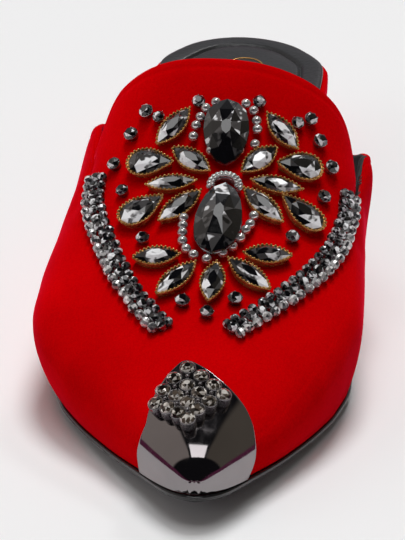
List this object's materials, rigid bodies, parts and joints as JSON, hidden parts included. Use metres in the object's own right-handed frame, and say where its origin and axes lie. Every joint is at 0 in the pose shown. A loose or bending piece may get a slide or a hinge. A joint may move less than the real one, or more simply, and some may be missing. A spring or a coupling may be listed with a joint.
{
  "type": "heeled mule",
  "caption": "Pointed, backless velvet mule with a low wrapped block heel, a jewelled vamp and a metal toe cap.",
  "frame": {"origin": "on the floor, under the centre of the shoe's bounding box", "axes": "toe towards -Y, heel towards +Y, inner (big-toe) side towards +X, up +Z"},
  "size_m": [0.0904, 0.2576, 0.0733],
  "materials": {
    "red_velvet": "deep red velvet pile",
    "glossy_black_edge": "glossy black",
    "black_rubber": "matte black",
    "black_leather": "soft satin black",
    "gunmetal": "mirror-polished dark gunmetal",
    "gold_set_smoke_crystal": "foil-backed smoke crystal in a thin gold setting",
    "smoke_crystal": "foil-backed smoke crystal",
    "silver_set_crystal": "small smoke crystals in silver settings"
  },
  "bodies": {
    "root": {"outsole": "glossy_black_edge", "footbed": "red_velvet", "insole": "black_leather", "heel": "red_velvet", "heel_lift": "black_rubber", "upper": "red_velvet", "toe_cap": "gunmetal", "toe_stones": "silver_set_crystal", "braid_inner": "silver_set_crystal", "braid_outer": "silver_set_crystal", "chaton_01": "smoke_crystal", "chaton_02": "smoke_crystal", "chaton_03": "smoke_crystal", "chaton_04": "smoke_crystal", "chaton_05": "smoke_crystal", "chaton_06": "smoke_crystal", "chaton_07": "smoke_crystal", "chaton_08": "smoke_crystal", "chaton_09": "smoke_crystal", "chaton_10": "smoke_crystal", "chaton_11": "smoke_crystal", "chaton_12": "smoke_crystal", "chaton_13": "smoke_crystal", "chaton_14": "smoke_crystal", "chaton_15": "smoke_crystal", "chaton_16": "smoke_crystal", "chaton_17": "smoke_crystal", "crescent": "silver_set_crystal", "gold_stone_inner_a": "gold_set_smoke_crystal", "gold_stone_inner_b": "gold_set_smoke_crystal", "gold_stone_inner_c": "gold_set_smoke_crystal", "gold_stone_inner_d": "gold_set_smoke_crystal", "gold_stone_inner_e": "gold_set_smoke_crystal", "gold_stone_inner_f": "gold_set_smoke_crystal", "gold_stone_inner_g": "gold_set_smoke_crystal", "gold_stone_inner_h": "gold_set_smoke_crystal", "gold_stone_middle": "gold_set_smoke_crystal", "gold_stone_outer_a": "gold_set_smoke_crystal", "gold_stone_outer_b": "gold_set_smoke_crystal", "gold_stone_outer_c": "gold_set_smoke_crystal", "gold_stone_outer_d": "gold_set_smoke_crystal", "gold_stone_outer_e": "gold_set_smoke_crystal", "gold_stone_outer_f": "gold_set_smoke_crystal", "gold_stone_outer_g": "gold_set_smoke_crystal", "gold_stone_outer_h": "gold_set_smoke_crystal", "large_stone_back": "smoke_crystal", "large_stone_front": "smoke_crystal"}
  },
  "joints": []
}
